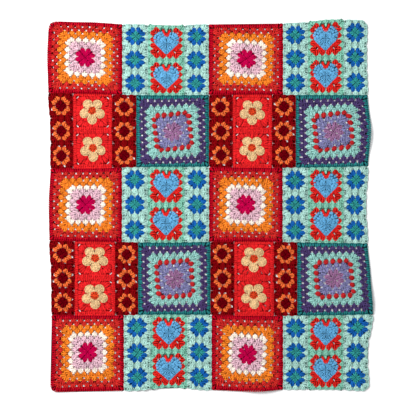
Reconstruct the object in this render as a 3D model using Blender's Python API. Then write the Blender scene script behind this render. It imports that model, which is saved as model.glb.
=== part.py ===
# Crochet patchwork blanket lying flat: large and small granny squares, heart squares and flower
# squares, each a thin sheet with its larger gaps cut through. Metres, +Z up, +Y to the top edge.
import bmesh
import bpy

MM = 0.001

# Thickness of the crochet and the hairline between neighbouring pieces
THICKNESS = 4.0 * MM
SEAM_GAP = 0.5 * MM
CORNER_ROUND = 18.0 * MM

# One granny cluster of three stitches, which sets the grid of a large square
CLUSTER_PITCH = 19.6 * MM
GAP_WIDTH = 5.2 * MM
BOBBLE_GAP_WIDTH = 4.4 * MM
BOBBLE_RISE = 3.0 * MM
PETAL_RISE = 2.5 * MM
HEART_GAP_X = 23.0 * MM
HEART_GAP_Y = -24.0 * MM
FLOWER_GAP = 38.0 * MM
SMALL_SQUARE = 65.0 * MM

# Heights of the seams across the blanket, top edge first, at nine stations from left to right
STATION_X = [x * MM for x in (-440, -330, -220, -110, 0, 110, 220, 330, 440)]
ROW_LINES = [[y * MM for y in line] for line in (
    (499, 497, 491, 487, 491, 491, 494, 503, 502),
    (306, 304, 301, 300, 301, 302, 301, 301, 301),
    (103, 104, 106, 107, 107, 106, 105, 106, 109),
    (-91, -93, -95, -96, -94, -93, -95, -97, -98),
    (-291, -291, -291, -290, -291, -292, -293, -292, -290),
    (-499, -496, -495, -485, -493, -497, -491, -491, -496),
)]

# Places of the upright seams of each row between the two outer edges
ROW_SEAMS = [[x * MM for x in seams] for seams in (
    (-236, -167, -69, -4, 196, 263, 359),
    (-369, -263, -199, -3, 60, 167, 230),
    (-237, -168, -69, -3, 195, 263, 359),
    (-365, -255, -194, 1, 64, 172, 234),
    (-232, -161, -62, 4, 196, 263, 358),
)]

# Outer edges at the top, middle and bottom of every row, from the top down
LEFT_EDGE = [x * MM for x in (-435, -439, -436, -430, -430, -435, -433, -428, -427, -425, -431)]
RIGHT_EDGE = [x * MM for x in (423, 421, 424, 433, 425, 419, 424, 432, 438, 423, 428)]

# What each row is made of, left to right: the kind of piece and how many are stacked in it
SUNRISE_ROW = (("sunrise", 1), ("blue_strip", 1), ("heart", 2), ("blue_strip", 1)) * 2
FLOWER_ROW = (("orange_strip", 1), ("flower", 2), ("orange_strip", 1), ("bobble", 1)) * 2
ROW_PIECES = (SUNRISE_ROW, FLOWER_ROW, SUNRISE_ROW, FLOWER_ROW, SUNRISE_ROW)

# Soft ripples where the edge doesn't lie quite flat: x, y, reach and rise
RIPPLES = [tuple(value * MM for value in ripple) for ripple in (
    (140, -505, 62, 8),
    (-160, -500, 55, 5),
    (445, -245, 70, 7),
    (445, 190, 60, 6),
    (-440, -395, 60, 5),
    (-150, 495, 60, 5),
    (330, 510, 60, 4),
)]

# Colour and roughness of the yarn that each kind of piece shows most
YARNS = {
    "sunrise": ((0.55, 0.018, 0.022), 0.85),
    "bobble": ((0.075, 0.045, 0.15), 0.85),
    "heart": ((0.20, 0.62, 0.42), 0.85),
    "flower": ((0.80, 0.022, 0.03), 0.85),
    "blue_strip": ((0.33, 0.75, 0.58), 0.85),
    "orange_strip": ((0.22, 0.004, 0.006), 0.85),
}


def clear_scene():
    for old in list(bpy.data.objects):
        bpy.data.objects.remove(old, do_unlink=True)


def eased(values, position):
    # Value at a fractional index of a list, with a smooth step from each entry to the next
    index = min(max(int(position), 0), len(values) - 2)
    part = min(max(position - index, 0.0), 1.0)
    part = part * part * (3.0 - 2.0 * part)
    return values[index] + (values[index + 1] - values[index]) * part


def row_line(line, x):
    spacing = STATION_X[1] - STATION_X[0]
    return eased(ROW_LINES[line], (x - STATION_X[0]) / spacing)


def seam_x(row, column, down):
    # Seam 0 and the last one are the blanket's own edges; down runs from 0 at a row's top to 1
    inner = ROW_SEAMS[row]
    if column == 0:
        return eased(LEFT_EDGE, 2 * (row + down))
    if column > len(inner):
        return eased(RIGHT_EDGE, 2 * (row + down))
    return inner[column - 1]


def on_blanket(row, column, across, down):
    # Plan position of a point given by its fractions across a column and down a row
    left = seam_x(row, column, down) + SEAM_GAP / 2
    right = seam_x(row, column + 1, down) - SEAM_GAP / 2
    x = left + (right - left) * across
    top = row_line(row, x)
    bottom = row_line(row + 1, x)
    return x, top + (bottom - top) * down


def ripple_rise(x, y):
    rise = 0.0
    for centre_x, centre_y, reach, height in RIPPLES:
        distance = ((x - centre_x) ** 2 + (y - centre_y) ** 2) ** 0.5
        rise = max(rise, height * max(0.0, 1.0 - (distance / reach) ** 2) ** 2)
    return rise


def ring_places(radius, places_along):
    # Places along the four sides of a square ring, measured from the middle of each side
    places = []
    for along in places_along:
        x, y = along, radius
        for _ in range(4):
            places.append((x, y))
            x, y = y, -x
    return places


def even_lines(count, half):
    return [half * (2 * index / count - 1) for index in range(count + 1)]


def sunrise_plan():
    # Gaps of the outer red round: the corner spaces, which are the largest, and every other gap
    ring = 4.5 * CLUSTER_PITCH
    along = [CLUSTER_PITCH * place for place in (-4.5, -2.5, -0.5, 1.5)]
    gaps = [(x, y, GAP_WIDTH) for x, y in ring_places(ring, along)]
    lines = even_lines(10, 5 * CLUSTER_PITCH)
    return lines, lines, gaps, []


def bobble_plan():
    # A ring of bobbles, with a gap inside it between each two
    pitch = CLUSTER_PITCH
    lines = [pitch * place for place in (-5, -4, -3, -2.5, -2, -1, 0, 1, 2, 2.5, 3, 4, 5)]
    between = [pitch * place for place in (-2.25, -1.5, -0.5, 0.5, 1.5)]
    gaps = [(x, y, BOBBLE_GAP_WIDTH) for x, y in ring_places(2.25 * pitch, between)]
    along = [pitch * place for place in (-2, -1, 0, 1, 2)]
    bobbles = [(x, y, BOBBLE_RISE) for x, y in ring_places(2.5 * pitch, along)]
    return lines, lines, gaps, bobbles


def heart_plan():
    # The two open spaces at the lower corners, beside the point of the heart
    lines = even_lines(5, 2.5 * CLUSTER_PITCH)
    gaps = [(side * HEART_GAP_X, HEART_GAP_Y, GAP_WIDTH) for side in (-1, 1)]
    return lines, lines, gaps, []


def flower_plan():
    # Four corner spaces around the flower, whose petals stand a little proud in the middle
    lines = even_lines(5, 2.5 * CLUSTER_PITCH)
    gaps = [(x, y, GAP_WIDTH) for x, y in ring_places(FLOWER_GAP, [-FLOWER_GAP])]
    inner = CLUSTER_PITCH / 2
    petals = [(x, y, PETAL_RISE) for x, y in ring_places(inner, [-inner])]
    return lines, lines, gaps, petals


def strip_plan():
    # Three small squares one above another, one corner space of each cut through
    half = SMALL_SQUARE / 2
    corners = ring_places(half * 2 / 3, [-half * 2 / 3])
    gaps = []
    for square, centre_y in enumerate((SMALL_SQUARE, 0.0, -SMALL_SQUARE)):
        x, y = corners[square]
        gaps.append((x, y + centre_y, GAP_WIDTH))
    return even_lines(3, half), even_lines(9, 3 * half), gaps, []


PLANS = {
    "sunrise": sunrise_plan,
    "bobble": bobble_plan,
    "heart": heart_plan,
    "flower": flower_plan,
    "blue_strip": strip_plan,
    "orange_strip": strip_plan,
}


def open_gap(bm, centre_x, centre_y, width):
    # The face around the gap is inset, its inner face shrunk to the gap and taken out
    def around_gap(face):
        xs = [vert.co.x for vert in face.verts]
        ys = [vert.co.y for vert in face.verts]
        return min(xs) < centre_x < max(xs) and min(ys) < centre_y < max(ys)

    face = next(face for face in bm.faces if around_gap(face))
    bmesh.ops.inset_individual(bm, faces=[face], thickness=width / 2)
    middle = face.calc_center_median()
    for vert in face.verts:
        vert.co.x = centre_x + (width / 2 if vert.co.x > middle.x else -width / 2)
        vert.co.y = centre_y + (width / 2 if vert.co.y > middle.y else -width / 2)
    bmesh.ops.delete(bm, geom=[face], context="FACES")


def raised_by(raised, x, y):
    return sum(rise for at_x, at_y, rise in raised if abs(x - at_x) < MM and abs(y - at_y) < MM)


def sheet_mesh(name, kind, row, column, level, levels):
    lines_x, lines_y, gaps, raised = PLANS[kind]()
    cells_x, cells_y = len(lines_x) - 1, len(lines_y) - 1
    span_x, span_y = lines_x[-1] - lines_x[0], lines_y[-1] - lines_y[0]
    hairline = SEAM_GAP / 2 / span_y
    bm = bmesh.new()
    bmesh.ops.create_grid(bm, x_segments=cells_x, y_segments=cells_y, size=1.0)
    for vert in bm.verts:
        vert.co.x = lines_x[round((vert.co.x + 1) / 2 * cells_x)]
        vert.co.y = lines_y[round((vert.co.y + 1) / 2 * cells_y)]
    for centre_x, centre_y, width in gaps:
        open_gap(bm, centre_x, centre_y, width)

    # Both faces of the sheet, then every point laid into its place on the blanket
    bmesh.ops.solidify(bm, geom=bm.faces[:], thickness=THICKNESS)
    middle_z = sum(vert.co.z for vert in bm.verts) / len(bm.verts)
    for vert in bm.verts:
        rise = 0.0
        if vert.co.z > middle_z:
            rise = THICKNESS + raised_by(raised, vert.co.x, vert.co.y)
        across = (vert.co.x - lines_x[0]) / span_x
        down = hairline + (lines_y[-1] - vert.co.y) / span_y * (1 - 2 * hairline)
        x, y = on_blanket(row, column, across, (level + down) / levels)
        vert.co = (x, y, ripple_rise(x, y) + rise)
    bmesh.ops.recalc_face_normals(bm, faces=bm.faces[:])
    mesh = bpy.data.meshes.new(name)
    bm.to_mesh(mesh)
    bm.free()
    return mesh


def round_blanket_corners(objects):
    # The outermost point of each corner is drawn in to the arc of its last stitches
    pull = CORNER_ROUND * (1 - 0.5 ** 0.5)
    points = [vert for part in objects for vert in part.data.vertices]
    for side_x in (-1, 1):
        for side_y in (-1, 1):
            reach = max(side_x * vert.co.x + side_y * vert.co.y for vert in points)
            for vert in points:
                if side_x * vert.co.x + side_y * vert.co.y > reach - MM:
                    vert.co.x -= side_x * pull
                    vert.co.y -= side_y * pull


def centre_on_origin(objects):
    # Each object's origin goes to its own middle, and the blanket's middle to the world origin
    points = [vert.co for part in objects for vert in part.data.vertices]
    middle_x = (min(point.x for point in points) + max(point.x for point in points)) / 2
    middle_y = (min(point.y for point in points) + max(point.y for point in points)) / 2
    for part in objects:
        verts = part.data.vertices
        own_x = sum(vert.co.x for vert in verts) / len(verts)
        own_y = sum(vert.co.y for vert in verts) / len(verts)
        for vert in verts:
            vert.co.x -= own_x
            vert.co.y -= own_y
        part.location = (own_x - middle_x, own_y - middle_y, 0.0)


def yarn_material(kind):
    colour, roughness = YARNS[kind]
    material = bpy.data.materials.new(kind + "_yarn")
    material.use_nodes = True
    shader = material.node_tree.nodes["Principled BSDF"]
    shader.inputs["Base Color"].default_value = (*colour, 1.0)
    shader.inputs["Roughness"].default_value = roughness
    shader.inputs["Metallic"].default_value = 0.0
    return material


def main():
    clear_scene()
    materials = {kind: yarn_material(kind) for kind in YARNS}
    objects = []
    for row, pieces in enumerate(ROW_PIECES):
        for column, (kind, levels) in enumerate(pieces):
            for level in range(levels):
                name = f"{kind}_row{row + 1}_col{column + 1}"
                if levels > 1:
                    name += ("_upper", "_lower")[level]
                mesh = sheet_mesh(name, kind, row, column, level, levels)
                mesh.materials.append(materials[kind])
                part = bpy.data.objects.new(name, mesh)
                bpy.context.scene.collection.objects.link(part)
                objects.append(part)
    round_blanket_corners(objects)
    centre_on_origin(objects)


main()
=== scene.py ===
# Crochet patchwork blanket laid flat. Every stitch is a short length of yarn: one loop is modelled,
# copied along the rounds of each square, and the stitches of a square, or of a strip of three small
# ones, are joined into one mesh. Sizes are in millimetres until a square is laid on the blanket.
import math

import bpy
import numpy as np
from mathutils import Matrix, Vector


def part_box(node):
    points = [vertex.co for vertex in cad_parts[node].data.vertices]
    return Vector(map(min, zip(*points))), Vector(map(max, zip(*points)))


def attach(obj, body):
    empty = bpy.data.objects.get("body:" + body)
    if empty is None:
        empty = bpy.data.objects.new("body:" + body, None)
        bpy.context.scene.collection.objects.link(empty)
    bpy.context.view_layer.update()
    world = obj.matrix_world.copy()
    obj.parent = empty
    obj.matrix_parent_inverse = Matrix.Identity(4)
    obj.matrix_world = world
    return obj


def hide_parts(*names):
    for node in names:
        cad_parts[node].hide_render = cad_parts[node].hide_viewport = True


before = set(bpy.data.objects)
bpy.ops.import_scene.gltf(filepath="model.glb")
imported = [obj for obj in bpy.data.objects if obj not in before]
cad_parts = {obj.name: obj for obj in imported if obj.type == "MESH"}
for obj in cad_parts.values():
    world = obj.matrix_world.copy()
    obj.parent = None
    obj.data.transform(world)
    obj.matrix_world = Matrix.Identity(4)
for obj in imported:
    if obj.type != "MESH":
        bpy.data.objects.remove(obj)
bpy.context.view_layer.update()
mm = 0.001
rng = np.random.default_rng(11)

# How the squares are set out, in millimetres, with the same lines as the solids
layout = {
    "stationX": (-440, -330, -220, -110, 0, 110, 220, 330, 440),
    "rowLines": (
        (499, 497, 491, 487, 491, 491, 494, 503, 502),
        (306, 304, 301, 300, 301, 302, 301, 301, 301),
        (103, 104, 106, 107, 107, 106, 105, 106, 109),
        (-91, -93, -95, -96, -94, -93, -95, -97, -98),
        (-291, -291, -291, -290, -291, -292, -293, -292, -290),
        (-499, -496, -495, -485, -493, -497, -491, -491, -496),
    ),
    "rowSeams": (
        (-236, -167, -69, -4, 196, 263, 359),
        (-369, -263, -199, -3, 60, 167, 230),
        (-237, -168, -69, -3, 195, 263, 359),
        (-365, -255, -194, 1, 64, 172, 234),
        (-232, -161, -62, 4, 196, 263, 358),
    ),
    "leftEdge": (-435, -439, -436, -430, -430, -435, -433, -428, -427, -425, -431),
    "rightEdge": (423, 421, 424, 433, 425, 419, 424, 432, 438, 423, 428),
    "ripples": (  # x, y, reach and rise of the places where the edge doesn't lie quite flat
        (140, -505, 62, 8), (-160, -500, 55, 5), (445, -245, 70, 7), (445, 190, 60, 6),
        (-440, -395, 60, 5), (-150, 495, 60, 5), (330, 510, 60, 4),
    ),
    "seamGap": 0.5,
    "outerCornerRound": 20.0,
    "innerCornerRound": 4.0,
}

# What lies in each row, from the left, and how many squares of it are stacked
sunriseRow = (("sunrise", 1), ("blue_strip", 3), ("heart", 2), ("blue_strip", 3)) * 2
flowerRow = (("orange_strip", 3), ("flower", 2), ("orange_strip", 3), ("bobble", 1)) * 2
rowPieces = (sunriseRow, flowerRow, sunriseRow, flowerRow, sunriseRow)
lastRow, lastColumn = len(rowPieces) - 1, len(sunriseRow) - 1

# Yarn colours as dyed, in sRGB
yarnColours = {
    "magenta": "#BF0548",
    "pink": "#EEC3D1",
    "white": "#FDEEDF",
    "orange": "#FC8A2C",
    "red": "#D42F2B",
    "crimson": "#BA0A22",
    "mauve": "#A1729C",
    "periwinkle": "#8A89B8",
    "bobbleRed": "#BC262A",
    "mint": "#9CD4CC",
    "purple": "#4F3F70",
    "teal": "#2A7E81",
    "maroon": "#72000E",
    "tangerine": "#F8743B",
    "oxblood": "#8A080F",
    "deepTeal": "#389F9D",
    "blue": "#1B64B6",
    "paleMint": "#B1DDD3",
    "skyBlue": "#65AAD7",
    "heartRed": "#E42A24",
    "leafMint": "#8BCFB8",
    "cream": "#E8C390",
    "coral": "#E54A26",
    "poppy": "#E22528",
}
yarnNames = list(yarnColours)
yarnNumber = {name: number for number, name in enumerate(yarnNames)}


def linear(hexColour):
    channels = [int(hexColour[i:i + 2], 16) / 255 for i in (1, 3, 5)]
    return [c / 12.92 if c <= 0.04045 else ((c + 0.055) / 1.055) ** 2.4 for c in channels]


def setInputs(tree, node, values):
    # Sets or links the inputs of a node, by name or number
    for key, value in values.items():
        if isinstance(value, bpy.types.NodeSocket):
            tree.links.new(value, node.inputs[key])
        else:
            node.inputs[key].default_value = value
    return node


def addNode(tree, kind, settings=None, links=None):
    node = tree.nodes.new("ShaderNode" + kind)
    for key, value in (settings or {}).items():
        setattr(node, key, value)
    return setInputs(tree, node, links or {})


print("stage: laying out the squares")


def eased(values, position):
    values = np.array(values, dtype=float)
    index = np.clip(position.astype(int), 0, len(values) - 2)
    part = np.clip(position - index, 0.0, 1.0)
    part = part * part * (3.0 - 2.0 * part)
    return values[index] + (values[index + 1] - values[index]) * part


def rowLine(line, x):
    stations = layout["stationX"]
    return eased(layout["rowLines"][line], (x - stations[0]) / (stations[1] - stations[0]))


def seamX(row, column, down):
    inner = layout["rowSeams"][row]
    if column == 0:
        return eased(layout["leftEdge"], 2 * (row + down))
    if column > len(inner):
        return eased(layout["rightEdge"], 2 * (row + down))
    return np.full_like(down, inner[column - 1])


def onBlanket(row, column, across, down):
    left = seamX(row, column, down) + layout["seamGap"] / 2
    right = seamX(row, column + 1, down) - layout["seamGap"] / 2
    x = left + (right - left) * across
    top = rowLine(row, x)
    return x, top + (rowLine(row + 1, x) - top) * down


def rippleRise(x, y):
    rise = np.zeros_like(x)
    for middleX, middleY, reach, height in layout["ripples"]:
        distance = np.hypot(x - middleX, y - middleY)
        rise = np.maximum(rise, height * np.maximum(0.0, 1.0 - (distance / reach) ** 2) ** 2)
    return rise


def blanketShift():
    # The solids were centred as a whole, so one of their corners gives the shift
    low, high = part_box("sunrise_row3_col5")
    left, middle = np.array([0.0]), np.array([0.5])
    x, y = onBlanket(2, 4, left, middle)
    top = onBlanket(2, 4, np.linspace(0, 1, 11), np.full(11, 0.0))[1].max()
    return low[0] / mm - x[0], high[1] / mm - top + layout["seamGap"] / 2


shiftX, shiftY = blanketShift()


# Heights and thicknesses within the crochet, and how uneven it is
crochet = {
    "postZ": 2.1,
    "postFoot": 1.2,  # how far its foot and its head stand above that
    "postHead": 0.1,
    "postThick": 1.9,
    "chainZ": 3.3,
    "chainThick": 1.3,
    "padZ": 1.3,
    "padThick": 0.4,
    "padUneven": 0.15,  # so that no two backs lie face in face
    "jitter": 0.45,
    "slide": 0.6,  # of a whole cluster along its round
    "swayWaves": (21.0, 24.0),  # length of the slow waves across and along
    "coreTwist": 2.0,  # times more that the middle of a square is turned
    "ridgePitch": 4.6,
}


def rounded(x, y, half, radius, cornerX, cornerY):
    # Draws one corner of a square in to an arc
    dx = x * cornerX - (half - radius)
    dy = y * cornerY - (half - radius)
    near = (dx > 0) & (dy > 0)
    squeeze = np.where(near, np.maximum(dx, dy) / np.maximum(np.hypot(dx, dy), 1e-6), 1.0)
    newX = np.where(near, cornerX * (half - radius + dx * squeeze), x)
    newY = np.where(near, cornerY * (half - radius + dy * squeeze), y)
    return newX, newY


def layOut(points, half, place, twist, sway):
    # From a square's own millimetres to metres on the blanket: a slight twist and sway of the
    # rounds, most at the middle and none at the edge, then its corners, its place and the ripples
    row, column, level, levels = place
    x, y, z = points[..., 0], points[..., 1], points[..., 2]
    inside = np.clip(1.0 - (np.maximum(abs(x), abs(y)) / half) ** 2, 0.0, 1.0)
    angle = math.radians(twist) * inside + math.radians(crochet["coreTwist"] * twist) * inside ** 6
    x, y = x * np.cos(angle) - y * np.sin(angle), x * np.sin(angle) + y * np.cos(angle)
    phases, size, lift = sway
    acrossWave, alongWave = crochet["swayWaves"]
    newX = x + size * inside * np.sin(y / acrossWave + phases[0])
    newY = y + size * inside * np.sin(x / alongWave + phases[1])
    x = newX + 2 * size * inside * math.sin(phases[2])
    y = newY + 2 * size * inside * math.sin(phases[3]) + lift * inside
    for cornerX in (-1, 1):
        for cornerY in (-1, 1):
            atSide = column == (0 if cornerX < 0 else lastColumn)
            atEnd = (row, level) == ((lastRow, levels - 1) if cornerY < 0 else (0, 0))
            radius = layout["outerCornerRound" if atSide and atEnd else "innerCornerRound"]
            x, y = rounded(x, y, half, radius, cornerX, cornerY)
    down = (level + (1 - y / half) / 2) / levels
    x, y = onBlanket(row, column, (x / half + 1) / 2, down)
    z = z + rippleRise(x, y)
    return np.stack([(x + shiftX) * mm, (y + shiftY) * mm, z * mm], axis=-1)


print("stage: modelling one loop of yarn")


def editShape(name):
    # Reads a finished little shape as arrays, and removes its object
    shape = bpy.context.object
    mesh = shape.data
    mesh.calc_loop_triangles()
    points = np.array([vert.co[:] for vert in mesh.vertices])
    corners = np.array([tri.vertices[:] for tri in mesh.loop_triangles])
    loops = np.array([tri.loops[:] for tri in mesh.loop_triangles]).ravel()
    uvs = np.array([mesh.uv_layers.active.data[index].uv[:] for index in loops])
    bpy.data.objects.remove(shape, do_unlink=True)
    print("  ", name, len(corners), "triangles")
    return {"points": points, "corners": corners, "uvs": uvs}


def selectWhere(mesh, wanted):
    bpy.ops.object.mode_set(mode="EDIT")
    bpy.ops.mesh.select_mode(type="VERT")
    bpy.ops.mesh.select_all(action="DESELECT")
    bpy.ops.object.mode_set(mode="OBJECT")
    for vert in mesh.vertices:
        vert.select = wanted(vert.co)
    bpy.ops.object.mode_set(mode="EDIT")


def modelLoop(name, sides, rings, shoulder):
    # A ball drawn out along +Z, with full shoulders, as a short bowed length of yarn
    bpy.ops.object.select_all(action="DESELECT")
    bpy.ops.mesh.primitive_uv_sphere_add(segments=sides, ring_count=rings, radius=1.0)
    mesh = bpy.context.object.data
    for low, high in ((0.3, 0.9), (-0.9, -0.3)):
        selectWhere(mesh, lambda co: low < co.z < high)
        bpy.ops.transform.resize(value=(shoulder, shoulder, 1.0))
        bpy.ops.transform.translate(value=(0.0, 0.0, 0.06 if low > 0 else -0.06))
        bpy.ops.object.mode_set(mode="OBJECT")
    return editShape(name)


def modelPad(name, sides):
    # A thin lens: the backs of a cluster's stitches, which close the cloth behind its loops
    bpy.ops.object.select_all(action="DESELECT")
    bpy.ops.mesh.primitive_cone_add(
        vertices=sides, radius1=1 / math.cos(math.pi / sides), radius2=0.0, depth=1.0,
        end_fill_type="TRIFAN", location=(0, 0, 0.5), rotation=(0, 0, math.pi / sides),
    )
    bpy.ops.object.transform_apply(location=True, rotation=True, scale=True)
    mesh = bpy.context.object.data
    for axis, stretch in ((0, (1.0, 1.7, 1.0)), (1, (1.7, 1.0, 1.0))):
        selectWhere(mesh, lambda co: abs(co[axis]) > 0.9)
        bpy.ops.transform.resize(value=stretch)  # fuller corners
        bpy.ops.object.mode_set(mode="OBJECT")
    selectWhere(mesh, lambda co: co.length < 0.1)
    bpy.ops.transform.translate(value=(0.0, 0.0, -1.0))
    bpy.ops.mesh.select_all(action="SELECT")
    bpy.ops.transform.rotate(value=math.pi / 2, orient_axis="X", center_override=(0, 0, 0))
    bpy.ops.object.mode_set(mode="OBJECT")
    return editShape(name)


loopShape = modelLoop("yarn loop", 6, 3, 1.15)
padShape = modelPad("flat back", 8)


def polar(radius, degrees):
    angle = math.radians(degrees)
    return np.array((radius * math.cos(angle), radius * math.sin(angle)))


def toSide(side, along, out):
    # A place on one of the four sides of a square, given along it and out from the middle
    return ((along, out), (out, -along), (-along, -out), (-out, along))[side]


def addLoop(rows, start, end, zs, widths, thick, name, bow=0.0, rise=0.0):
    rows.append((*start, zs[0], *end, zs[1], *widths, thick, bow, rise, yarnNumber[name]))


def addPost(work, start, end, widths, name, bow=0.0, rise=0.3, lift=0.0):
    # One upright stitch: it rides over what it is worked into, and dips towards its top
    zs = [crochet["postZ"] + crochet[part] + lift for part in ("postFoot", "postHead")]
    addLoop(work["loops"], start, end, zs, widths, crochet["postThick"], name, bow, rise)


def addPad(work, start, end, widths, name):
    z = crochet["padZ"] + rng.uniform(-crochet["padUneven"], crochet["padUneven"])
    addLoop(work["pads"], start, end, (z, z), widths, crochet["padThick"], name)


def onSide(add, work, side, start, end, *rest, **more):
    # A stitch, chain or back with its ends given along one side and out from the middle
    add(work, toSide(side, *start), toSide(side, *end), *rest, **more)


# A cluster of three stitches, in shares of half its width
cluster = {
    "openDig": 0.68,  # reach of the middle one into the round below, in the open outer rounds
    "shoulder": (0.20, 0.32),  # the same for the other two, in the first rounds and in later ones
    "fan": 0.58,  # from one head to the next
    "peak": 0.16,  # how far the middle head passes the edge of the round
    "droop": 0.24,  # how much lower the other two are
    "firstPeak": 0.14,  # how much further all three reach in the first rounds
    "footWidths": (0.11, 0.14),  # of the middle stitch and of the others
    "headWidth": 0.295,
    "bow": 0.11,
    "cap": (0.78, 0.32, 0.40),  # half length of the chain over the heads, how far below, its bow
    "backWidths": (0.34, 0.76),  # narrow at the foot in the first rounds
    "cornerLean": 0.08,  # how much further the end ones reach to a corner
}

# How the clusters of each yarn differ from the usual ones
clusterShapes = {
    "usual": {
        "plump": 1.0,  # width of each stitch
        "slim": 1.0,  # width of the three heads together
        "spread": 0.11,  # from one foot to the next
        "dig": 0.90,  # reach of the middle one into the round below
        "cornerDig": 0.66,  # the same for all three at a corner
        "cornerPull": 0.08,  # from the diagonal to the feet of those
        "cornerGather": 0.18,  # from it to their heads, in the first rounds
        "cornerSlope": 0.0,  # how much less deep the one nearest the middle of the side starts
        "hole": (0.36, 0.82),  # least and most of a gap that is left open to the floor
    },
    "magenta": {"plump": 1.30, "cornerPull": 0.28},
    "white": {"plump": 1.42, "slim": 0.62, "spread": 0.40, "dig": 0.68},
    "red": {"hole": (0.12, 0.68)},
    "purple": {"hole": (0.40, 0.92)},
    "tangerine": {
        "plump": 1.06, "slim": 0.70, "spread": 0.30,
        "cornerDig": 0.60, "cornerPull": 0.30, "cornerGather": -0.06, "cornerSlope": 0.56,
    },
    "oxblood": {"hole": (0.25, 0.95)},
    "blue": {"slim": 0.85},
    "paleMint": {"plump": 1.14},
    "leafMint": {"plump": 1.12},
    "heartRed": {"plump": 1.18, "spread": 0.5},
}


def shapeOf(name):
    return {**clusterShapes["usual"], **clusterShapes.get(name, {})}


def addCluster(work, side, middle, inner, outer, half, name, lean=(0, 0), corner=0, dig=None):
    # Three stitches out of one space in the round below, which fan out, the middle one highest,
    # with the chain drawn to a peak over their tops. lean is how far the end ones reach to a
    # corner, and corner on which side it is: the foot is then near the square's diagonal
    shape = shapeOf(name)
    first, later = inner < 2 * half, inner > 3 * half
    slide = rng.normal(0, crochet["slide"], 2)[0]
    deep = max(inner - (dig or shape["dig"]) * half, 0.05 * half)
    shallow = max(inner - cluster["shoulder"][later] * half, 0.2 * half)
    foot = middle
    if corner:
        deep = shallow = inner - shape["cornerDig"] * half
        foot = corner * (deep - shape["cornerPull"] * half)
        middle -= corner * shape["cornerGather"] * first * half
    for step in (-1, 0, 1):
        extra = (lean[0], 0, lean[1])[step + 1]
        head = middle + step * (cluster["fan"] * shape["slim"] + extra) * half + slide
        further = cluster["firstPeak"] if first else 0.0
        top = outer + (cluster["peak"] - cluster["droop"] * abs(step) + further) * half
        nudge = rng.normal(0, crochet["jitter"], 4)
        low = (shallow if step else deep) + nudge[1]
        if corner:
            low += shape["cornerSlope"] * (1 - step * corner) / 2 * half
        start = (foot + step * shape["spread"] * half + nudge[0] * 0.4, low)
        end = (head + nudge[2], top + nudge[3] * 0.6)
        widths = (cluster["footWidths"][abs(step)], cluster["headWidth"])
        widths = [width * shape["plump"] * half for width in widths]
        onSide(addPost, work, side, start, end, widths, name, bow=-step * cluster["bow"] * half)
    reach, below, bow = cluster["cap"]
    left = middle - (reach * shape["slim"] + lean[0]) * half + slide
    right = middle + (reach * shape["slim"] + lean[1]) * half + slide
    start, end = (left, outer - below * half), (right, outer - below * half)
    onSide(addChain, work, side, start, end, name, bow * half, 0.5, 0.5)
    narrow, wide = cluster["backWidths"]
    widths = ((wide if later else narrow) * half, wide * shape["slim"] * half)
    start, end = (middle, inner - 0.1 * half), (middle, outer - 0.05 * half)
    onSide(addPad, work, side, start, end, widths, name)


# The backs that close the gaps of a round, in shares of half a cluster
gapBacks = {
    "closed": -0.2,  # where they start, out from the foot of the round, if no floor shows
    "widths": (0.60, 0.46),
    "closedCorner": 1.1,  # how far in a corner is closed, from the middle of its round
    "openCorners": {2: 0.66},  # the same for one that shows the floor, by its round, else 0.42
    "cornerWidths": (0.6, 0.8),
}


def addRound(work, k, half, name, openness, cornerOpenness=None):
    # Round k of a granny square has k clusters on each side, two of them at each corner.
    # openness is the share of the gaps between them that the floor shows through
    inner, outer = (k - 0.5) * half, (k + 0.5) * half
    cornerOpenness = openness if cornerOpenness is None else cornerOpenness
    dig = cluster["openDig"] if openness > 0.8 and k > 3 else None
    for side in range(4):
        for index in range(k):
            middle = (index - (k - 1) / 2) * 2 * half
            ends = (index == 0, index == k - 1)
            lean = [cluster["cornerLean"] if atEnd else 0.0 for atEnd in ends]
            corner = 0 if k == 1 else ends[1] - ends[0]
            addCluster(work, side, middle, inner, outer, half, name, lean, corner, dig)
            if index:
                gap = middle - half
                hole = rng.uniform(*shapeOf(name)["hole"])
                low = inner + (hole if rng.random() < openness else gapBacks["closed"]) * half
                widths = [width * half for width in gapBacks["widths"]]
                onSide(addPad, work, side, (gap, low), (gap, outer + 0.05 * half), widths, name)
        if rng.random() >= cornerOpenness or k > 3 or (k, name) == (2, "magenta"):
            openCorner = gapBacks["openCorners"].get(k, 0.42)  # it is still closed on its outer side
            low = k - (gapBacks["closedCorner"] if rng.random() >= cornerOpenness else openCorner)
            high = (k + 0.12) * half
            widths = [width * half for width in gapBacks["cornerWidths"]]
            onSide(addPad, work, side, (low * half, low * half), (high, high), widths, name)


def addChain(work, start, end, name, bow=0.0, rise=0.3, lower=0.3, width=1.3):
    zs = [crochet["chainZ"] - lower] * 2
    addLoop(work["loops"], start, end, zs, (width, width), crochet["chainThick"], name, bow, rise)


def addCorner(work, side, outer, half, name):
    # The two chains that turn a corner
    near, far = outer - 0.52 * half, outer - 0.08 * half
    onSide(addChain, work, side, (near, far), (far, near), name, 0.9, 0.2)


# The edging of a large square, in millimetres unless a share is named
edging = {
    "deepest": 5.6,  # how far its stitches reach down between two clusters
    "widths": (0.42, 0.50),  # of a stitch, as shares of the space for one
    "head": 1.6,  # of a stitch, in from the edge
    "link": (0.55, 1.9, 0.9),  # half its length as a share, and its start and end in from the edge
    "corner": (3.6, 0.9, (4.4, 3.4)),  # the back of a corner: start, end and widths
}


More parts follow.
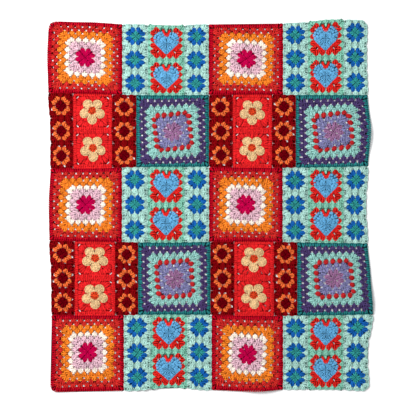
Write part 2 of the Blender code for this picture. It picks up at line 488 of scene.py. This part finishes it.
def addEdging(work, spec, half, rounds):
    # Short upright stitches along the edge, worked down between the clusters of the last round,
    # and the slanted links of the chain on top of them
    inner, outer = spec["half"] - spec["edging"], spec["half"]
    name, count = spec["edgeYarn"], spec["edgeStitches"]
    reach, lift = spec["edgeReach"]
    pitch = 2 * inner / count
    for side in range(4):
        for index in range(count + 1):
            along = (index - count / 2) * pitch
            fan = along * (outer - 0.6) / inner if index in (0, count) else along
            nudge = rng.normal(0, crochet["jitter"], 3)
            wave = 0.5 - 0.5 * math.cos(math.pi * (along / half + rounds - 1))
            foot = inner - reach - (edging["deepest"] - reach) * wave + nudge[2]
            end = (fan + nudge[0], outer - edging["head"] + nudge[1] * 0.3)
            widths = [pitch * share for share in edging["widths"]]
            onSide(addPost, work, side, (along * foot / inner, foot), end, widths, name, lift=lift)
            link, low, high = edging["link"]
            start, end = (along - pitch * link, outer - low), (along + pitch * link, outer - high)
            onSide(addChain, work, side, start, end, name, width=1.2)
        onSide(addPad, work, side, (0, inner - 1.0), (0, outer + 0.3), (inner - 1.0, outer - 1.0), name)
        near, far, widths = edging["corner"]
        start, end = (inner - near, inner - near), (outer - far, outer - far)
        onSide(addPad, work, side, start, end, widths, name)


def addRidge(work, half, name):
    # The slanted loops that join a square to its neighbours, proud along its left and right
    pitch = crochet["ridgePitch"]
    count = int(2 * half / pitch)
    for side in range(4):
        lower = 0.0 if side in (1, 3) else 0.9
        for index in range(count):
            along = (index - (count - 1) / 2) * 2 * half / count
            start, end = (along - pitch * 0.5, half - 2.1), (along + pitch * 0.5, half - 0.9)
            onSide(addChain, work, side, start, end, name, lower=lower)
        onSide(addPad, work, side, (0, half - 3.5), (0, half + 0.3), (half - 2.0, half - 0.5), name)


def addCentre(work, half, name):
    # The ring of chains that the first round is worked into
    radius = 0.34 * half
    for index in range(6):
        addChain(work, polar(radius, index * 60), polar(radius, index * 60 + 66), name)
    addPad(work, (0, -half * 0.5), (0, half * 0.5), (4, 4), name)


def newWork():
    return {"loops": [], "pads": []}


# The large sunrise squares. Rounds are from the middle out: yarn, how many, and the share of their
# gaps that shows the floor
sunrise = {
    "half": 98.0,
    "edging": 7.4,
    "rounds": (
        ("magenta", 2, 0.6), ("pink", 2, 0.1), ("white", 1, 0.1), ("orange", 2, 0.6), ("red", 2, 1.0),
    ),
    "cornerOpenness": {1: 0.0, 2: 0.6},
    "edgeYarn": "crimson",
    "edgeStitches": 30,
    "edgeReach": (3.2, 0.5),  # down over the last round, and how far above it
}


def grannyWork(spec):
    work = newWork()
    rounds = [(name, openness) for name, count, openness in spec["rounds"] for _ in range(count)]
    half = (spec["half"] - spec["edging"]) / (len(rounds) + 0.5)
    addCentre(work, half, rounds[0][0])
    for k, (name, openness) in enumerate(rounds, 1):
        if name == "bobbleRed":
            addBobbles(work, k, half, name)
        else:
            addRound(work, k, half, name, openness, spec.get("cornerOpenness", {}).get(k))
    if spec["edging"]:
        addEdging(work, spec, half, len(rounds))
    else:
        for side in range(4):
            addCorner(work, side, spec["half"], half, rounds[-1][0])
        addRidge(work, spec["half"], rounds[-1][0])
    return work


# The large squares with a ring of bobbles
bobble = {
    "half": 98.0,
    "edging": 8.2,
    "rounds": (
        ("mauve", 2, 0.9), ("periwinkle", 2, 0.95), ("bobbleRed", 1, 1.0), ("mint", 2, 0.5),
        ("purple", 2, 1.0),
    ),
    "edgeYarn": "teal",
    "edgeStitches": 30,
    "edgeReach": (1.0, 0.0),
    "loops": 5,  # of one bobble
    "shift": 0.12,  # of those at a corner, towards the middle of the side
    "reach": (0.34, 0.24),  # past the edges of its round, as shares of half a cluster
    "z": 2.9,
    "puff": 3.0,
    "bulge": 3.9,
    "widths": (2.3, 2.8),
    "thick": 2.0,
}


def addBobbles(work, k, half, name):
    # Each bobble is five tall loops closed together at foot and head, so that they puff up
    inner, outer = (k - 0.5) * half, (k + 0.5) * half
    loops, shift, z = bobble["loops"], bobble["shift"], bobble["z"]
    below, above = bobble["reach"]
    for side in range(4):
        for index in range(k):
            middle = (index - (k - 1) / 2) * 2 * half
            middle += {0: shift, k - 1: -shift}.get(index, 0.0) * half
            for step in range(loops):
                across = (step - (loops - 1) / 2) / ((loops - 1) / 2)
                start = toSide(side, middle + across * 0.8, inner - below * half)
                end = toSide(side, middle + across * 1.6, outer + above * half)
                rise = bobble["puff"] * (1 - 0.6 * across * across)
                look = (bobble["widths"], bobble["thick"], name)
                bow = -across * bobble["bulge"]
                addLoop(work["loops"], start, end, (z, z), *look, bow, rise)
            onSide(addPad, work, side, (middle, inner - 0.3 * half), (middle, outer), (3.5, 4.0), name)


# The small squares of the strips: three rounds each
small = {"half": 32.5, "edging": 0.0, "cornerOpenness": {2: 0.0, 3: 0.0}}
blueSmall = {**small, "rounds": (("deepTeal", 1, 0.0), ("blue", 1, 0.15), ("paleMint", 1, 0.05))}
orangeSmall = {**small, "rounds": (("maroon", 1, 0.0), ("tangerine", 1, 0.85), ("oxblood", 1, 0.42))}

# The heart squares: a little square set on its corner with a fan on each upper side, its red
# surround, and a mint round
heart = {
    "half": 49.0,
    "round": 9.0,  # height of a round inside the square
    "fanFoot": 10.5,  # where the fans start, out from the middle
    "fanSweep": (-84, 166),  # angle of the first stitch, and from there to the last
    "fanAngles": (-90, -78, -60, -35, -8, 26, 50, 83),  # from the outer end to the notch
    "fanReach": (24, 26.5, 26.5, 29.5, 28.0, 27.5, 22.5, 12.5),
    "fanTiers": ((5, 0.06, 0.42), (8, 0.34, 0.74), (11, 0.66, 1.0)),  # stitches, foot and head
    "fanWidths": (3.1, 4.3),
    "fanBacks": (-64, -32, 0, 32, 64),
    "pointRows": (  # places along a side, share of them and rounds out for foot and head, widths
        ([(i - 4.5) * 4.4 for i in range(10)], (1.0, 2.35), (0.97, 3.4), (2.0, 2.3), "heartRed"),
        ((-13.0, -9.0, -5.4, 5.4, 9.0, 13.0), (1.0, 3.1), (0.96, 4.15), (1.9, 2.1), "heartRed"),
        ((-14, -7, 0, 7, 14), (0.9, 1.3), (1.0, 2.44), (2.4, 3.0), "skyBlue"),
    ),
    "pointBacks": (  # place along a side, rounds out for start and end, widths
        (0, 2.3, 3.35, (22.0, 20.0)),
        (-10.5, 3.2, 4.1, (7.0, 6.5)),
        (10.5, 3.2, 4.1, (7.0, 6.5)),
    ),
    "surround": (32.5, 42.2, 17.0),  # foot, top and pitch of the red clusters
    "border": (42.2, 49.0, 17.6),
    "armWidth": 3.3,
    "lift": 1.0,  # how far the blue stands over the feet of the red
    "cornerBacks": (  # start, end and widths
        ((35, 35), (48, 48), (7.0, 8.0), "leafMint"),
        ((30, 33), (36, 39), (4.0, 5.0), "heartRed"),
        ((33, 30), (39, 36), (4.0, 5.0), "heartRed"),
    ),
    "flankBacks": (  # the same for those on the right, which the left has mirrored
        ((17, 33), (19, 44), (5.0, 5.0), "leafMint"),
        ((38, 28), (34, 38), (4.0, 4.0), "heartRed"),
        ((14, -24), (21, -31), (5.0, 5.0), "heartRed"),
        ((24, -16), (30, -24), (5.0, 5.0), "heartRed"),
        ((24.5, -28), (31, -34), (7.0, 6.0), "heartRed"),
    ),
}


def turned(rows, degrees):
    angle = math.radians(degrees)
    c, s = math.cos(angle), math.sin(angle)
    return [
        (x0 * c - y0 * s, x0 * s + y0 * c, z0, x1 * c - y1 * s, x1 * s + y1 * c, z1, *rest)
        for x0, y0, z0, x1, y1, z1, *rest in rows
    ]


def lobePlace(side, flip, angle, reach, share=1.0):
    c, s = math.cos(math.radians(angle)), math.sin(math.radians(angle)) * flip
    return np.array(toSide(side, s * reach * share, heart["fanFoot"] + c * reach * share))


def addFan(work, side, flip, name):
    # Tall stitches out of one place, in three tiers, which make one lobe of the heart
    first, sweep = heart["fanSweep"]
    for count, low, high in heart["fanTiers"]:
        for index in range(count):
            angle = first + sweep * index / (count - 1) + rng.normal(0, 2)
            reach = np.interp(angle, heart["fanAngles"], heart["fanReach"])
            start = lobePlace(side, flip, angle, reach, low) + rng.normal(0, 0.7, 2)
            end = lobePlace(side, flip, angle, reach, high) + rng.normal(0, 0.5, 2)
            addPost(work, start, end, heart["fanWidths"], name)
    for angle in heart["fanBacks"]:
        reach = np.interp(angle, heart["fanAngles"], heart["fanReach"]) * 0.97
        start, end = lobePlace(side, flip, angle, 3), lobePlace(side, flip, angle, reach)
        addPad(work, start, end, (3.5, 8.5), name)


def addRow(work, side, count, size, name, lean=0.25, leftOut=(), backs=None):
    # One side of a round whose end clusters lean to its corners, with the backs between them
    foot, top, pitch = size
    for index in range(count):
        if index in leftOut:
            continue
        middle = (index - (count - 1) / 2) * pitch
        leans = [lean if index == end else 0.0 for end in (0, count - 1)]
        addCluster(work, side, middle, foot, top, pitch / 2, name, leans)
        if index and backs:
            gap = middle - pitch / 2
            onSide(addPad, work, side, (gap, foot - 4), (gap, top), backs, name)


def heartCore():
    # The blue heart with its point towards side 2 and side 3, and the red worked into the point
    core = newWork()
    size = heart["round"]
    addCentre(core, size, "skyBlue")
    addRound(core, 1, size, "skyBlue", 0.4)
    for side in (2, 3):
        addRow(core, side, 2, (1.5 * size, 2.5 * size, 2 * size), "skyBlue", 0.3)
        for places, low, high, widths, name in heart["pointRows"]:
            for along in places:
                start, end = (along * low[0], low[1] * size), (along * high[0], high[1] * size)
                onSide(addPost, core, side, start, end, widths, name)
        for along in (-16, -8, 0, 8, 16):
            start, end = (along - 4.4, 2.46 * size), (along + 4.4, 2.5 * size)
            onSide(addChain, core, side, start, end, "skyBlue", width=1.5)
        for along, low, high, widths in heart["pointBacks"]:
            onSide(addPad, core, side, (along, low * size), (along, high * size), widths, "heartRed")
    addCorner(core, 2, 2.5 * size, size, "skyBlue")
    addFan(core, 0, 1, "skyBlue")
    addFan(core, 1, -1, "skyBlue")
    addPad(core, (0, -2.4 * size), (0, 1.6 * size), (20.0, 14.0), "skyBlue")
    for number, row in enumerate(core["loops"]):
        if row[-1] == yarnNumber["skyBlue"]:
            foot, head = row[2] + heart["lift"], row[5] + heart["lift"]
            core["loops"][number] = (*row[:2], foot, *row[3:5], head, *row[6:])
    return core


def addNotch(work):
    # Two red stitches along each side of the notch, one down its middle, and a mint one above
    for flip in (-1, 1):
        for shift in (-0.5, 0.5):
            lift = shift * heart["armWidth"]
            start = (flip * (1.2 - lift * 0.3), 17.5 + lift * 0.6)
            end = (flip * (10.5 - lift * 0.85), 39.5 + lift * 0.5)
            addPost(work, start, end, (1.9, 2.1), "heartRed", lift=heart["lift"] + 0.5)
        addPad(work, (flip * 2, 19), (flip * 10, 38), (2.5, 4.5), "heartRed")
    addPost(work, (0, 16.5), (0, 30.0), (1.9, 3.4), "heartRed", lift=heart["lift"] + 0.3)
    addPost(work, (0, 30.0), (0, 41.0), (1.6, 3.4), "leafMint", lift=heart["lift"] + 0.3)
    addPad(work, (0, 29), (0, 42), (2.0, 7.5), "leafMint")


def addBorder(work):
    # The mint round, and the backs of its corners
    foot, top, pitch = heart["border"]
    for side in range(4):
        addRow(work, side, 5, heart["border"], "leafMint", backs=(6.0, 5.0))
        addCorner(work, side, top, pitch / 2, "leafMint")
        for start, end, widths, name in heart["cornerBacks"]:
            onSide(addPad, work, side, start, end, widths, name)
    for flip in (-1, 1):
        for (x0, y0), (x1, y1), widths, name in heart["flankBacks"]:
            addPad(work, (flip * x0, y0), (flip * x1, y1), widths, name)


def heartWork():
    core = heartCore()
    work = {kind: turned(core[kind], 45) for kind in core}
    for side in range(4):
        leftOut = () if side else (1, 2)  # for the notch of the heart
        addRow(work, side, 4, heart["surround"], "heartRed", leftOut=leftOut)
    addNotch(work)
    addBorder(work)
    addRidge(work, heart["half"], "leafMint")
    return work


# The flower squares: five raised petals round a button, on a close ground
flower = {
    "half": 49.0,
    "buttonRadius": 12.8,
    "petalAngles": (54, 126, 198, 270, 342),
    "lobeMiddle": 21.5,
    "lobeRadius": 11.6,
    "petalTiers": (  # stitches, foot and head as shares of the petal, thickness, widths
        (4, 0.0, 0.62, 1.9, (1.3, 2.4)),
        (7, 0.50, 1.0, 1.7, (1.5, 2.2)),
    ),
    "narrowing": 0.93,  # undoes the widening of these squares, which aren't quite square
    "lift": 4.0,  # how far the flowers lie above the middle of their squares
    "groundStitches": (34, 48, 15),  # round, first square, and a side of the last
    "groundPitch": 4.9,
    "squaring": (30.0, 33.0),  # radius of the round ground, half of the first square round
    "cutCorner": 38.0,
    "sideBacks": (  # start, end and widths, for the last round and its corners
        ((0, 37.5), (0, 49.3), (34.6, 36.0)),
        ((43.6, 43.6), (38.6, 38.6), (5.4, 4.2)),
        ((30.0, 47.0), (49.3, 47.0), (2.2, 2.2)),
        ((47.0, 30.0), (47.0, 49.3), (2.2, 2.2)),
    ),
    "cornerPosts": (  # foot and head of those on one half of a corner
        ((40.5, 32.5), (48.0, 36.0)),
        ((42.8, 35.2), (48.0, 40.5)),
        ((42.0, 41.0), (47.8, 45.0)),
    ),
    "cornerFill": (((40.2, 33.6), (46.8, 38.0)), ((38.2, 41.6), (46.0, 46.6))),
}


def squareReach(degrees, half, most):
    # How far a square of that half width reaches at an angle, with its corners cut off at most
    longest = max(abs(math.cos(math.radians(degrees))), abs(math.sin(math.radians(degrees))))
    return min(half / longest, most)


def addMirrored(work, side, foot, head, postWidths, padWidths, name):
    # A stitch beside a corner, and its mirror image across the diagonal
    for start, end in ((foot, head), (foot[::-1], head[::-1])):
        onSide(addPost, work, side, start, end, postWidths, name)
        if padWidths:
            onSide(addPad, work, side, start, end, padWidths, name)


def addGroundRounds(work, name):
    # A round of stitches behind the petals, and one that turns it into a square
    circle, squared = flower["squaring"]
    inner, outer = flower["groundStitches"][:2]
    for index in range(inner):
        angle = index * 360 / inner + rng.normal(0, 1.5)
        reach = (circle + squareReach(angle, squared, flower["cutCorner"])) / 2
        start, end = polar(20.0 + rng.uniform(-2, 3), angle), polar(reach + 0.5, angle)
        addPost(work, start, end, (2.8, 3.8), name, lift=-0.7)
        start, end = polar(reach + 0.4, angle - 5.6), polar(reach + 0.2, angle + 5.6)
        addChain(work, start, end, name, width=1.5)
        addPad(work, polar(12.0, angle), polar(25.0, angle), (1.8, 3.2), name)
        addPad(work, polar(24.0, angle), polar(reach + 1.0, angle), (3.2, 4.0), name)
    for index in range(outer):
        angle = (index + 0.5) * 360 / outer + rng.normal(0, 1.0)
        reach = (circle + squareReach(angle, squared, flower["cutCorner"])) / 2
        top = squareReach(angle, 41.0, 50.0)
        wide = 1.12 * math.pi / outer
        if top < 44.5:
            addChain(work, polar(top - 0.6, angle - 4), polar(top - 0.8, angle + 4), name, width=1.4)
        foot = polar(reach - 1.8 + rng.normal(0, 1), angle)
        addPost(work, foot, polar(top, angle), (reach * wide, top * wide), name)
        addPad(work, polar(reach - 0.5, angle), polar(top, angle), (2.9, 3.6), name)


def addGroundSide(work, side, name):
    # One side of the last round, with the corner at its end
    pitch, count = flower["groundPitch"], flower["groundStitches"][2]
    for index in range(count):
        along = (index - (count - 1) // 2) * pitch
        nudge = rng.normal(0, crochet["jitter"], 2)
        start, end = (along * 0.98 + nudge[0], 39.0 + nudge[1]), (along * 1.04, 48.2)
        onSide(addPost, work, side, start, end, (2.4, 2.7), name)
        start, end = (along * 1.06 - pitch * 0.55, 47.2), (along * 1.06 + pitch * 0.5, 48.0)
        onSide(addChain, work, side, start, end, name)
        if side == 2:  # over the seam below, which doesn't show in the real one
            start, end = ((index - 7.5) * 6.3, 49.2), ((index - 6.4) * 6.3, 48.8)
            onSide(addChain, work, side, start, end, name, width=2.0, lower=0.1)
    for start, end, widths in flower["sideBacks"]:
        onSide(addPad, work, side, start, end, widths, name)
    for foot, head in flower["cornerPosts"]:
        addMirrored(work, side, foot, head, (2.0, 2.6), (1.6, 3.0), name)
    onSide(addChain, work, side, (32.6, 38.2), (38.2, 32.6), name)
    for foot, head in flower["cornerFill"]:
        addMirrored(work, side, foot, head, (1.6, 2.0), None, name)
    for along in (-4.6, 4.6):
        low, high = 33.0 + along / 2, 33.0 - along / 2
        onSide(addPost, work, side, (low - 3, high - 3), (low + 2.6, high + 2.6), (2.0, 2.4), name)
    onSide(addPad, work, side, (28, 28), (36.9, 36.9), (8.0, 5.5), name)
    addCorner(work, side, 49.0, 9.0, name)


def addPetal(work, angle, name):
    # A plump lobe: its bulk, side stitches, two tiers of stitches over it, and a chain round its rim
    middle, radius = flower["lobeMiddle"], flower["lobeRadius"]
    loops = work["loops"]
    start, end = polar(9.0, angle), polar(middle + radius + 1.0, angle)
    addLoop(loops, start, end, (3.6, 3.6), (7.5, radius + 1.2), 1.4, name, 0.0, 0.5)
    for turn in (-36, -24, 24, 36):
        foot, head = polar(9.5, angle + turn), polar(20.0 - abs(turn) / 12, angle + turn * 0.95)
        addLoop(loops, foot, head, (4.0, 3.6), (1.6, 2.3), 1.6, name, 0.0, 0.6)
    centre = polar(middle, angle)
    for count, low, high, thick, widths in flower["petalTiers"]:
        for step in range(count):
            turn = (step / (count - 1) - 0.5) * 200
            head = centre + polar(radius - 0.6, angle + turn)
            foot = polar(9.0, angle + (step / (count - 1) - 0.5) * 50)
            start, end = foot + (head - foot) * low, foot + (head - foot) * high
            start = start + rng.normal(0, 0.35, 2)
            addLoop(loops, start, end, (4.6, 4.0), widths, thick, name, 0.0, 0.9)
    rim = [centre + polar(radius, angle + step * 34) for step in range(-3, 4)]
    for first, second in zip(rim, rim[1:]):
        first, second = first - 0.15 * (second - first), second + 0.15 * (second - first)
        addLoop(loops, first, second, (4.2, 4.2), (1.5, 1.5), 1.4, name, -0.8, 0.3)


def addButton(work, name, ringName):
    # The button at the middle, in the ring that the petals are worked into
    button, loops = flower["buttonRadius"], work["loops"]
    addPad(work, (0, -11.5), (0, 11.5), (11.5, 11.5), name)
    for angle in range(0, 360, 24):
        start, end = polar(button, angle), polar(button, angle + 30)
        addLoop(loops, start, end, (3.2, 3.2), (1.8, 1.8), 1.5, ringName, -0.5, 0.3)
    for angle in range(0, 360, 40):
        start, end = polar(button * 0.35, angle), polar(button, angle + 14)
        addLoop(loops, start, end, (4.6, 3.9), (1.5, 3.1), 1.7, name, 0.0, 0.8)
    addLoop(loops, (-2.5, 0), (2.5, 0), (5.2, 5.2), (2.6, 2.6), 1.6, name)
    for angle in range(20, 380, 90):
        start, end = polar(4.5, angle), polar(4.5, angle + 100)
        addLoop(loops, start, end, (5.4, 5.4), (1.9, 1.9), 1.7, name, -1.2, 0.3)


def flowerWork():
    work, raised = newWork(), newWork()
    addGroundRounds(work, "poppy")
    for side in range(4):
        addGroundSide(work, side, "poppy")
    for angle in flower["petalAngles"]:
        addPetal(raised, angle, "cream")
    addButton(raised, "coral", "cream")
    slim = flower["narrowing"]
    for x0, y0, z0, x1, *rest in raised["loops"]:
        work["loops"].append((x0 * slim, y0, z0, x1 * slim, *rest))
    work["pads"] += raised["pads"]
    return work


# Tones from -1 to 1 for a stitch in full light. The backs are deep in the cloth, so their colour is
# darkened far more as painted shade, and some yarns' backs get less of that painted shade
stitchTonesAndShade = {
    "loops": (-1, 1),
    "backs": (-3.8, -3.2),
    # how much less painted shade the backs of these yarns get
    "lessBackShade": {
        "pink": 1.2, "white": 1.6, "paleMint": 1.7, "leafMint": 1.9, "mint": 1.0, "poppy": 2.1,
        "skyBlue": 0.8, "heartRed": 1.2, "orange": 1.2,
    },
}


def laidMesh(name, shape, batches, toneAndShadeRange, lessBackShade=None):
    # Joins every copy of a shape into one mesh, laid on the blanket, with its yarns as materials
    points, uvs, yarns = [], [], []
    flat = shape["points"]
    t = (flat[:, 2] + 1) / 2
    arch = 4 * t * (1 - t)
    for rows, half, place, twist, sway in batches:
        rows = np.array(rows)
        start, end = rows[:, 0:3], rows[:, 3:6]
        w0, w1, thick, bow, rise = rows[:, 6:11].T
        along = end - start
        length = np.hypot(along[:, 0], along[:, 1])
        side = np.stack([-along[:, 1], along[:, 0]], axis=1) / length[:, None]
        width = w0[:, None] * (1 - t) + w1[:, None] * t
        offset = flat[:, 0] * width + bow[:, None] * arch
        line = start[:, None, :2] + along[:, None, :2] * t[:, None]
        plan = line + side[:, None, :] * offset[..., None]
        z = start[:, 2:3] + along[:, 2:3] * t + flat[:, 1] * thick[:, None] + rise[:, None] * arch
        laid = layOut(np.concatenate([plan, z[..., None]], axis=-1), half, place, twist, sway)
        points.append(laid.reshape(-1, 3))
        around = math.pi * ((w0 + w1) / 2 + thick)
        size = np.stack([around, length], axis=1)[:, None, :]
        slide = rng.uniform(0, 40, (len(rows), 1, 2))
        uvs.append((shape["uvs"][None] * size + slide).reshape(-1, 2))
        yarns.append(rows[:, 11].astype(int))
    points, uvs, yarns = np.concatenate(points), np.concatenate(uvs), np.concatenate(yarns)
    copies, perCopy = len(yarns), len(flat)
    corners = shape["corners"][None] + (np.arange(copies) * perCopy)[:, None, None]
    mesh = bpy.data.meshes.new(name)
    mesh.from_pydata(points, [], corners.reshape(-1, 3))
    perShape = len(shape["corners"])
    used = sorted(set(yarns.tolist()))
    slotOf = np.zeros(len(yarnNames), dtype=int)
    for slot, number in enumerate(used):
        mesh.materials.append(yarnMaterials[yarnNames[number]])
        slotOf[number] = slot
    mesh.polygons.foreach_set("material_index", np.repeat(slotOf[yarns], perShape).astype(np.int32))
    mesh.polygons.foreach_set("use_smooth", np.ones(copies * perShape, dtype=bool))
    mesh.uv_layers.new(name="alongYarn").data.foreach_set("uv", uvs.ravel())
    # each stitch's random tone, and on the backs the painted shade that darkens them
    toneAndShade = mesh.attributes.new("stitchToneAndShade", "FLOAT", "FACE")
    # less painted shade on the backs of some yarns
    lift = np.array([(lessBackShade or {}).get(yarnName, 0.0) for yarnName in yarnNames])
    toneAndShade.data.foreach_set("value", np.repeat(rng.uniform(*toneAndShadeRange, copies) + lift[yarns], perShape))
    mesh.update()
    piece = bpy.data.objects.new(name, mesh)
    bpy.context.scene.collection.objects.link(piece)
    return piece


print("stage: dyeing the yarns")

# Soft acrylic and wool blend in four plies: matt, with a fine halo and a slanting twist
yarnFinish = {
    "plyTwist": 3.2,  # mm from one ply to the next along the yarn
    "plySlant": 52,  # degrees
    "plyWaver": 0.6,
    "waveAtOne": 0.314,  # mm, the length of a wave in the wave texture at scale 1
    "fibre": 2.4,  # mm, drawn several times too coarse so that it shows
    "dyeCloud": 30.0,  # mm
    "light": 0.42,  # of the dye, and what the stitch's random tone, the clouds and fibres add to it, with the painted shade of the backs and of the grooves between plies
    # share of the random tone of each stitch, and of the painted shade on the backs
    "toneAndShadeLight": 0.18,
    "cloudLight": 0.20,
    "fibreLight": 0.60,
    # share of the painted shade in the grooves between the plies
    "plyGrooveShade": 0.32,
    "fibreBump": (0.6, 0.0010),  # strength, and height in metres
    "plyBump": (0.9, 0.0012),
    "roughness": 0.9,
    "sheen": 0.12,
    "sheenRoughness": 0.6,
    "gloss": 0.10,
}


def yarnMaterial(name, hexColour):
    # Spun and dyed yarn: the twist gives slanting ridges, the fibres a soft grain. The colour is
    # darkened with painted shade in the grooves between the plies and on the backs of the stitches
    material = bpy.data.materials.new(name + "SpunYarn")
    material.use_nodes = True
    tree = material.node_tree
    dye = linear(hexColour)
    uv = addNode(tree, "UVMap", {"uv_map": "alongYarn"})
    slanted = addNode(tree, "Mapping", None, {
        "Vector": uv.outputs["UV"], "Rotation": (0.0, 0.0, math.radians(yarnFinish["plySlant"])),
    })
    plies = addNode(tree, "TexWave", {"wave_profile": "SIN"}, {
        "Vector": slanted.outputs["Vector"], "Distortion": yarnFinish["plyWaver"],
        "Scale": yarnFinish["waveAtOne"] / yarnFinish["plyTwist"],
    })
    place = addNode(tree, "TexCoord")
    fibre, cloud = [addNode(tree, "TexNoise", None, {
        "Vector": place.outputs["Object"], "Scale": 1000 / yarnFinish[size], "Detail": detail,
    }) for size, detail in (("fibre", 3.0), ("dyeCloud", 2.0))]
    # the stitch's random tone, and on the backs their painted shade
    toneAndShade = addNode(tree, "Attribute", {"attribute_name": "stitchToneAndShade"})
    light = yarnFinish["light"]
    shares = ((toneAndShade, "toneAndShadeLight"), (cloud, "cloudLight"), (fibre, "fibreLight"), (plies, "plyGrooveShade"))
    for source, share in shares:
        light = addNode(tree, "Math", {"operation": "MULTIPLY_ADD"}, {
            0: source.outputs["Fac"], 1: yarnFinish[share], 2: light,
        }).outputs["Value"]
    dyed = addNode(tree, "VectorMath", {"operation": "SCALE"}, {0: dye, "Scale": light})
    normal = {}
    for source, bump in ((fibre, "fibreBump"), (plies, "plyBump")):
        strength, height = yarnFinish[bump]
        relief = addNode(tree, "Bump", None, {
            "Strength": strength, "Distance": height, "Height": source.outputs["Fac"], **normal,
        })
        normal = {"Normal": relief.outputs["Normal"]}
    setInputs(tree, tree.nodes["Principled BSDF"], {
        "Base Color": dyed.outputs["Vector"], "Roughness": yarnFinish["roughness"],
        "Specular IOR Level": yarnFinish["gloss"], "Specular Tint": (*dye, 1.0),
        "Sheen Weight": yarnFinish["sheen"], "Sheen Roughness": yarnFinish["sheenRoughness"],
        "Sheen Tint": (*dye, 1.0), **normal,  # fibres scatter light in their own dye
    })
    return material


yarnMaterials = {name: yarnMaterial(name, colour) for name, colour in yarnColours.items()}

print("stage: crocheting the squares")


def swayOf(size, lift=0.0):
    return rng.uniform(0, 2 * math.pi, 4), size, lift


# The settings of each kind of square, and the material slot of its solids
specs = {
    "sunrise": (sunrise, "red_yarn"), "bobble": (bobble, "purple_yarn"), "heart": (heart, "green_yarn"),
    "flower": (flower, "bright_red_yarn"), "blue_strip": (blueSmall, "mint_yarn"),
    "orange_strip": (orangeSmall, "dark_red_yarn"),
}
# Twist of each large square's rounds against its edge, in degrees, row by row
twists = {"sunrise": iter((-2, -3, -1, -2, 1, -4)), "bobble": iter((5, 5, 4, 3))}


def twistAndSway(kind):
    # No two squares are turned and drawn quite alike
    if kind in twists:
        return next(twists[kind]), swayOf(1.0)
    if kind in ("heart", "flower"):
        sway = swayOf(0.5, flower["lift"] if kind == "flower" else 0.0)
        return rng.normal(0, 1.5), sway
    return rng.normal(0, 2), swayOf(0.5)


def addPiece(kind, name, node, batches):
    piece = laidMesh(name, loopShape, batches, stitchTonesAndShade["loops"])
    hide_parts(node)
    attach(piece, "root")
    pieces.append(piece)


pieces = []
padBatches = []
for row, kinds in enumerate(rowPieces):
    for column, (kind, levels) in enumerate(kinds):
        name = kind.replace("_s", "S") + f"StitchesRow{row + 1}Col{column + 1}"
        node = f"{kind}_row{row + 1}_col{column + 1}"
        spec = specs[kind][0]
        batches = []
        for level in range(levels):
            single = {"heart": heartWork, "flower": flowerWork}.get(kind)
            work = single() if single else grannyWork(spec)
            laid = (spec["half"], (row, column, level, levels), *twistAndSway(kind))
            batches.append((work["loops"], *laid))
            padBatches.append((work["pads"], *laid))
            if single:  # one piece for each square, where the three of a strip share one
                end = ("_upper", "_lower")[level]
                addPiece(kind, name + end[1:].title(), node + end, batches)
                batches = []
        if batches:
            addPiece(kind, name, node, batches)

# the backs of all the stitches in one mesh, darkened with painted shade
ground = laidMesh("stitchBacksPaintedShade", padShape, padBatches, stitchTonesAndShade["backs"], stitchTonesAndShade["lessBackShade"])
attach(ground, "root")

print("stage: floor, light and camera")

stage = {
    "floorSize": 12.0,
    "floorDrop": 0.0002,
    "frameWidth": 416 * 2.691 * mm,  # the photo's width, at 2.691 mm for each of its pixels
    "cameraHeight": 3.4,
    "cameraAim": (-0.0054, -0.0054),
    "keyPlace": (-1.7, 1.2, 2.6),
    "keySize": 1.3,
    "keyPower": 112.0,
    "worldStrength": 0.56,
    "paper": "#FBFBFC",
    "paperRoughness": 0.95,
}

bpy.ops.object.select_all(action="DESELECT")
bpy.ops.mesh.primitive_plane_add(size=stage["floorSize"], location=(0, 0, -stage["floorDrop"]))
floor = bpy.context.object
floor.name = "studioFloor"
floorPaint = bpy.data.materials.new("mattWhitePaper")
floorPaint.use_nodes = True
setInputs(floorPaint.node_tree, floorPaint.node_tree.nodes["Principled BSDF"], {
    "Base Color": (*linear(stage["paper"]), 1.0), "Roughness": stage["paperRoughness"],
})
floor.data.materials.append(floorPaint)

world = bpy.data.worlds.new("softStudio")
world.use_nodes = True
setInputs(world.node_tree, world.node_tree.nodes["Background"], {
    "Color": (1.0, 1.0, 1.0, 1.0), "Strength": stage["worldStrength"],
})
bpy.context.scene.world = world

bpy.ops.object.light_add(type="AREA", location=stage["keyPlace"])
key = bpy.context.object
key.name = "softKey"
key.data.energy = stage["keyPower"]
key.data.size = stage["keySize"]
toMiddle = -np.array(stage["keyPlace"])
key.rotation_euler = (
    math.acos(-toMiddle[2] / np.linalg.norm(toMiddle)), 0.0,
    math.atan2(toMiddle[1], toMiddle[0]) - math.pi / 2,
)

cameraData = bpy.data.cameras.new("overhead")
cameraData.sensor_width = 36.0
cameraData.lens = 36.0 * stage["cameraHeight"] / stage["frameWidth"]
camera = bpy.data.objects.new("overhead", cameraData)
camera.location = (*stage["cameraAim"], stage["cameraHeight"])
bpy.context.scene.collection.objects.link(camera)
bpy.context.scene.camera = camera
bpy.context.scene.view_settings.view_transform = "Standard"

print("stage: sizes")
triangles = [len(piece.data.polygons) for piece in pieces + [ground]]
print("triangles", sum(triangles), "the most in a piece", max(triangles))
